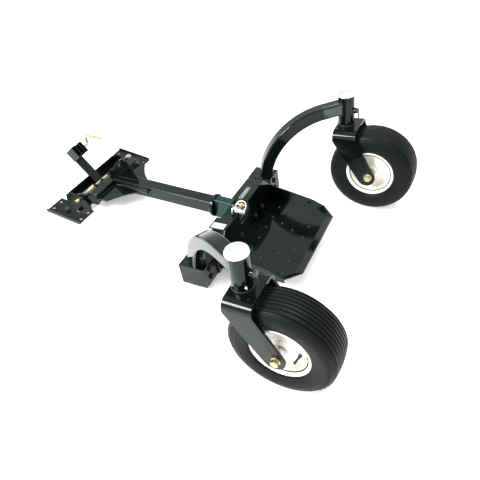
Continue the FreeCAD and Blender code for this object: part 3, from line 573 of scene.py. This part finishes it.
def caps_and_tubes():
    for side, sign in SIDES:
        place, upright, dome, lip = caster_trim(side, sign)
        piece("domed_cap_" + side, dome, upright, LOOKS["bright_zinc_cap"], "chassis",
              ["dust_caps"])
        roll = tube(lip[:-1], 0.0008, 8, True)
        piece("cap_rolled_edge_" + side, roll, upright, LOOKS["bright_zinc_cap"], "chassis")
        bolt = aimed(hex_head(0.019, 0.008, 0.0, 0.0), Vector((0, 0.0395, 0.402)), (0, 1, 0))
        tail = tube(bent([(0, 0.0445, 0.401), (0, 0.0475, 0.385), (0, 0.047, 0.364)], 0.006), 0.0024, 10)
        piece("tube_bolt_detail_" + side, merged([bolt, tail]), place, LOOKS["satin_black_steel"],
              "chassis", ["tube_bolts"])
        nipple = [(0.0, 0.0), (4.2, 0.0), (4.2, 3.0), (2.6, 3.8), (2.4, 6.0), (3.0, 7.4), (2.2, 9.4), (0.0,
                   9.8)]
        fitting = lathe([Vector((r * MM, x * MM)) for r, x in nipple], 20, False)
        aimed(fitting, Vector((0.0215, 0.0215, 0.366)), (1, 1, 0.25))
        piece("grease_nipple_" + side, fitting, place, LOOKS["plated_bolt"], "chassis")


# ---- hitch pins and springs -----------------------------------------------------------
def hitch_line(x):
    return HITCH_POINT + Vector((x, 0, 0))


def tongue_rise():
    """Unit vector off the tongue's upper face."""
    return Vector((0, -math.sin(TONGUE_SLOPE), math.cos(TONGUE_SLOPE)))


def tongue_rear():
    return Vector((0, math.cos(TONGUE_SLOPE), math.sin(TONGUE_SLOPE)))


def pull_pin():
    handle = hitch_line(-0.032) + (0.45 * tongue_rear() - 0.89 * tongue_rise()) * 0.0138
    rod = tube(bent([hitch_line(0.120), hitch_line(-0.032), handle], 0.006, 8), 0.0059, 20)
    tip = [(0.0, 124.0), (7.4, 124.0), (7.9, 124.6), (7.9, 163.4), (6.4, 165.8), (0.0, 165.8)]
    nose = lathe([Vector((r * MM, x * MM)) for r, x in tip], 40, False)
    bmesh.ops.transform(nose, matrix=Matrix.Translation(HITCH_POINT), verts=nose.verts)
    stop = [(5.0, 118.4), (11.2, 118.4), (11.5, 118.9), (11.5, 123.4), (11.0, 124.0), (5.0, 124.0)]
    washer = lathe([Vector((r * MM, x * MM)) for r, x in stop], 40)
    bmesh.ops.transform(washer, matrix=Matrix.Translation(HITCH_POINT), verts=washer.verts)
    piece("pull_pin_with_handle", merged([rod, nose, washer]), WORLD, LOOKS["yellow_zinc"], "hitch_pin",
          ["hitch_pin_left"])


def pull_spring():
    """Compression coil on the pull pin, drawn at rest; the real coil is squeezed as the pin is drawn."""
    low = 0.0566
    high = 0.1176
    turns = 13
    path = []
    for k in range(turns * 20 + 1):
        t = k / (turns * 20)
        a = 2.0 * math.pi * turns * t
        spread = low + (high - low) * t
        path.append(HITCH_POINT + Vector((spread, 0.0092 * math.cos(a), 0.0092 * math.sin(a))))
    coil = piece("pull_pin_spring", tube(path, 0.0015, 8), WORLD, LOOKS["yellow_zinc"], "tongue",
                 ["hitch_spring_left"])
    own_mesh(coil)


def hinge_pin():
    outline = [(0.0, -193.6), (8.4, -193.6), (9.8, -192.0), (10.0, -191.0), (10.0, -158.6), (9.4, -158.0),
               (8.0, -157.6), (7.9, -101.0), (6.6, -100.0), (0.0, -100.0)]
    pin = lathe([Vector((r * MM, x * MM)) for r, x in outline], 40, False)
    bmesh.ops.transform(pin, matrix=Matrix.Translation(HITCH_POINT), verts=pin.verts)
    piece("hinge_pin_turned", pin, WORLD, LOOKS["yellow_zinc"], "tongue", ["hinge_pin_right"])
    rear = tongue_rear()
    rise = tongue_rise()
    hoop = circle(hitch_line(-0.094), (1, 0, 0), rise, 0.012, 0.0, 330.0, 40)
    hoop.append(hoop[-1] + rise * 0.004 + rear * 0.001)
    piece("pin_clip_wire", tube(hoop, 0.0017, 10), WORLD, LOOKS["yellow_zinc"], "tongue",
          ["pin_clip_right"])


def stow_handle():
    """Pull pin of the latch block: one bent rod with a long finger grip."""
    block_r = 0.146
    off = -0.006
    along = math.sqrt(block_r * block_r - off * off)
    foot = Vector((-0.066, HITCH_POINT.y + along * math.cos(BAR_ANGLE) - off * math.sin(BAR_ANGLE),
                   HITCH_POINT.z + along * math.sin(BAR_ANGLE) + off * math.cos(BAR_ANGLE)))
    top = foot + Vector((0, -0.006, 0.036))
    end = top + Vector((0, 0.978, 0.209)) * 0.0895
    path = bent([foot + Vector((0.054, 0, 0)), foot, top, end], 0.0105, 8)
    piece("stow_pin_bent_rod", tube(path, 0.0059, 20), WORLD, LOOKS["yellow_zinc"], "stow_pin",
          ["stow_pin"])


def lynch():
    pin = [(0.0, -20.0), (3.0, -20.0), (4.0, -18.6), (4.0, 12.8), (7.4, 13.0), (8.0, 13.8), (8.0, 32.0),
           (7.0, 34.6), (5.0, 35.9), (0.0, 36.0)]
    outline = [Vector((r * MM, x * MM)) for r, x in pin]
    body = lathe(softened(outline, 0.0008, 2, False), 32, False)
    upright = TONGUE @ Matrix.Translation((0, 0.056, 0)) @ Matrix.Rotation(-math.pi / 2.0, 4, "Y")
    piece("lynch_pin_turned", body, upright, LOOKS["yellow_zinc"], "lynch_pin", ["lynch_pin"])
    a = math.radians(-42.0)
    out = Vector((math.cos(a), 0, math.sin(a)))
    hinge = Vector((0, 0.056, 0.030))
    hoop = tube(circle(hinge + out * 0.006, out, (0, 1, 0), 0.020, count=56)[:-1], 0.0019, 12, True)
    bar = tube([hinge - Vector((0, 0.0188, 0)), hinge + Vector((0, 0.0188, 0))], 0.0019, 12)
    piece("lynch_ring_wire", merged([hoop, bar]), TONGUE, LOOKS["plated_bolt"], "lynch_ring",
          ["lynch_ring"])


# ---- welds, labels and small trim ---------------------------------------------------
def square_loop(y, half):
    return [(half, y, half), (-half, y, half), (-half, y, -half), (half, y, -half), (half, y, half)]


def arm_to_tube_weld(sign):
    """Loop where the square arm meets the round caster tube, in the chassis frame."""
    into = Vector((0.5326 * sign, 0.8464, 0.0))
    side = Vector((0.8464 * sign, -0.5326, 0.0))
    centre = Vector((sign * CASTER_X, 0, 0))
    points = []
    for height, order in ((0.4405, 1.0), (0.3915, -1.0)):
        for k in range(9):
            s = order * (-0.024 + 0.048 * k / 8)
            reach = math.sqrt(0.0315 ** 2 - s * s)
            lift = 0.109 * (0.0315 - reach)
            points.append(centre - into * reach + side * s + Vector((0, 0, height + lift)))
    points.append(points[0])
    return points


def welds():
    for side, sign in SIDES:
        x = 0.2325 * sign
        weld_bead("weld_arm_tube_" + side, arm_to_tube_weld(sign), 0.0022, CHASSIS, "chassis")
        weld_bead("weld_socket_top_" + side, [(x, -0.332, 0.1735), (x, -0.241, 0.1735)], 0.002, CHASSIS,
                  "chassis")
        weld_bead("weld_socket_front_" + side, [(x, -0.3345, 0.114), (x, -0.3345, 0.170)], 0.002, CHASSIS,
                  "chassis")
        xc = 0.0182 * sign
        weld_bead("weld_coupler_" + side, [(xc, -0.332, 0.1732), (xc, -0.283, 0.1732)], 0.0025, CHASSIS,
                  "chassis")
        xt = 0.0254 * sign
        weld_bead("weld_wing_" + side, [(xt, -0.357, 0.0032), (xt, -0.500, 0.0032)], 0.002, TONGUE, "tongue")
        weld_bead("weld_wing_head_" + side, [(0.030 * sign, -0.5025, 0.0032), (0.128 * sign, -0.5025,
                  0.0032)],
                  0.002, TONGUE, "tongue")
        xa = 0.1322 * sign
        weld_bead("weld_head_arm_" + side, [(xa, -0.506, 0.0202), (xa, -0.540, 0.0202)], 0.002, TONGUE,
                  "tongue")
        xe = 0.1458 * sign
        weld_bead("weld_ear_inside_" + side, [(xe, -1.054, 0.0062), (xe, -0.967, 0.0062)], 0.002, BRACKET,
                  "mower_bracket")
        xo = 0.1522 * sign
        weld_bead("weld_ear_outside_" + side, [(xo, -1.060, 0.0062), (xo, -0.947, 0.0062)], 0.002, BRACKET,
                  "mower_bracket")
    weld_bead("weld_collar", square_loop(-0.0582, 0.0252), 0.0022, TONGUE, "tongue")
    weld_bead("weld_tongue_head", [(-0.024, -0.5028, 0.0202), (0.024, -0.5028, 0.0202)], 0.0022, TONGUE,
              "tongue")
    for x in (-0.0062, 0.0002):
        weld_bead("weld_sector_%d" % round(x * -1000), [(x, -0.500, 0.0257), (x, -0.405, 0.0257)], 0.0016,
                  TONGUE, "tongue")
    weld_bead("weld_bar_clamp", [(0.0262, -0.449, 0.0225), (0.0262, -0.334, 0.0225)], 0.0016, TONGUE,
              "tongue")
    weld_bead("weld_stow_bar", [(-0.019, -1.0565, 0.034), (0.019, -1.0565, 0.034)], 0.002, BRACKET,
              "mower_bracket")


def rounded_plate(length, width, corner, thick):
    """Thin plate with rounded corners, lying in local XY."""
    outline = []
    for cx, cy, start in ((1, 1, 0), (-1, 1, 90), (-1, -1, 180), (1, -1, 270)):
        for k in range(9):
            a = math.radians(start + 90.0 * k / 8)
            outline.append((cx * (length / 2 - corner) + corner * math.cos(a),
                            cy * (width / 2 - corner) + corner * math.sin(a)))
    mesh = bmesh.new()
    low = [mesh.verts.new((x, y, 0.0)) for x, y in outline]
    high = [mesh.verts.new((x * 0.999, y * 0.998, thick)) for x, y in outline]
    mesh.faces.new(high)
    mesh.faces.new(list(reversed(low)))
    for k in range(len(outline)):
        j = (k + 1) % len(outline)
        mesh.faces.new((low[k], low[j], high[j], high[k]))
    return mesh, outline


def labels():
    """Blank generic stickers on the toe board's top strip."""
    oval_place = CHASSIS @ Matrix.Translation((-0.062, -0.263, 0.2401))
    badge, outline = rounded_plate(0.078, 0.017, 0.0084, 0.0003)
    piece("blank_badge", badge, oval_place, GREY_LABEL, "chassis")
    ink = tube([Vector((x * 0.95, y * 0.86, 0.0003)) for x, y in outline], 0.0006, 6, True)
    piece("badge_outline", ink, oval_place, SILVER_INK, "chassis")
    bars = []
    for x in (-0.021, -0.007, 0.007, 0.021):
        bar, _ = rounded_plate(0.009, 0.005, 0.0015, 0.0003)
        bmesh.ops.transform(bar, matrix=Matrix.Translation((x, 0, 0.0002)), verts=bar.verts)
        bars.append(bar)
    piece("badge_bars", merged(bars), oval_place, SILVER_INK, "chassis")
    white_place = CHASSIS @ Matrix.Translation((0.139, -0.265, 0.2401))
    paper, _ = rounded_plate(0.028, 0.050, 0.002, 0.0003)
    piece("white_sticker", paper, white_place, WHITE_LABEL, "chassis")
    marks = []
    for k in range(5):
        mark, _ = rounded_plate(0.018 - 0.002 * (k % 3), 0.0022, 0.0006, 0.0002)
        bmesh.ops.transform(mark, matrix=Matrix.Translation((0, -0.017 + 0.0085 * k, 0.0002)),
                            verts=mark.verts)
        marks.append(mark)
    piece("white_sticker_bars", merged(marks), white_place, GREY_LABEL, "chassis")


# ---- finish of the CAD's own pieces -------------------------------------------------
def finish_cad_nodes():
    """Give every CAD node its slot's material, small edge radii and smooth shading."""
    special = {"coupler_housing": TEAL_COAT}
    slots = {row["node"]: row["material_slot"] for row in frame["record"]["subparts"]}
    fine = ("pin_guides", "latch_block", "collar_bolts", "spindle_bushings", "wheel_bearings_left",
            "wheel_bearings_right", "caster_bearings")
    for name, node in frame["nodes"].items():
        look = special.get(name, LOOKS[slots[name]])
        node.data.materials.clear()
        node.data.materials.append(look)
        for face in node.data.polygons:
            face.use_smooth = True
        if name == "platform_floor":
            continue  # its flat sheet and domed bumps shade best as they were made
        weld = node.modifiers.new("weld", "WELD")
        weld.merge_threshold = 1e-5
        bevel = node.modifiers.new("edge", "BEVEL")
        bevel.limit_method = "ANGLE"
        bevel.angle_limit = math.radians(34.0)
        bevel.width = 0.0004 if name in fine else 0.0009
        bevel.segments = 2
        bevel.use_clamp_overlap = True
        bevel.harden_normals = False
        even = node.modifiers.new("normals", "WEIGHTED_NORMAL")
        even.keep_sharp = True


# ---- studio -----------------------------------------------------------------------------
def area_light(name, position, target, size, power, tint=(1, 1, 1)):
    data = bpy.data.lights.new(name, "AREA")
    data.shape = "RECTANGLE"
    data.size = size[0]
    data.size_y = size[1]
    data.energy = power
    data.color = tint
    obj = bpy.data.objects.new(name, data)
    bpy.context.scene.collection.objects.link(obj)
    obj.location = position
    obj.rotation_euler = (Vector(target) - Vector(position)).to_track_quat("-Z", "Y").to_euler()
    return obj


def studio():
    mesh = bmesh.new()
    bmesh.ops.create_grid(mesh, x_segments=8, y_segments=8, size=14.0)
    data = bpy.data.meshes.new("studio_floor")
    mesh.to_mesh(data)
    mesh.free()
    data.materials.append(studio_floor())
    floor = bpy.data.objects.new("studio_floor", data)
    floor.location = (0, 0, -0.0006)
    bpy.context.scene.collection.objects.link(floor)
    world = bpy.data.worlds.new("studio")
    bpy.context.scene.world = world
    world.use_nodes = True
    background = world.node_tree.nodes["Background"]
    background.inputs["Color"].default_value = (0.97, 1.0, 0.985, 1.0)
    background.inputs["Strength"].default_value = 1.05
    focus = Vector((0.0, ORIGIN_Y - 0.3, 0.25))
    softbox_way = Vector((0.634, -0.536, 0.542)).normalized()
    area_light("side_softbox", focus + softbox_way * 2.6, focus, (1.5, 0.7), SIDE_LIGHT_WATTS)
    area_light("top_softbox", (-0.6, ORIGIN_Y - 0.2, 3.0), (0, ORIGIN_Y - 0.4, 0.1), (1.6, 1.6),
               TOP_LIGHT_WATTS)


def camera():
    data = bpy.data.cameras.new("photo_camera")
    data.sensor_width = 36.0
    data.lens = LENS_MM
    obj = bpy.data.objects.new("photo_camera", data)
    bpy.context.scene.collection.objects.link(obj)
    right = Vector((-0.4398, 0.897, 0.0447)).normalized()
    back = Vector((0.6472, 0.282, 0.7083)).normalized()
    up = back.cross(right).normalized()
    turn = Matrix((right, up, back)).transposed()
    obj.matrix_world = Matrix.Translation(CAMERA_PLACE) @ turn.to_4x4()
    bpy.context.scene.camera = obj


finish_cad_nodes()
for side_name, side_sign in SIDES:
    wheel(side_name, side_sign)
    axle(side_name, side_sign)
caps_and_tubes()
pull_pin()
pull_spring()
hinge_pin()
stow_handle()
lynch()
welds()
labels()
studio()
camera()
bpy.context.scene.view_settings.view_transform = "Standard"
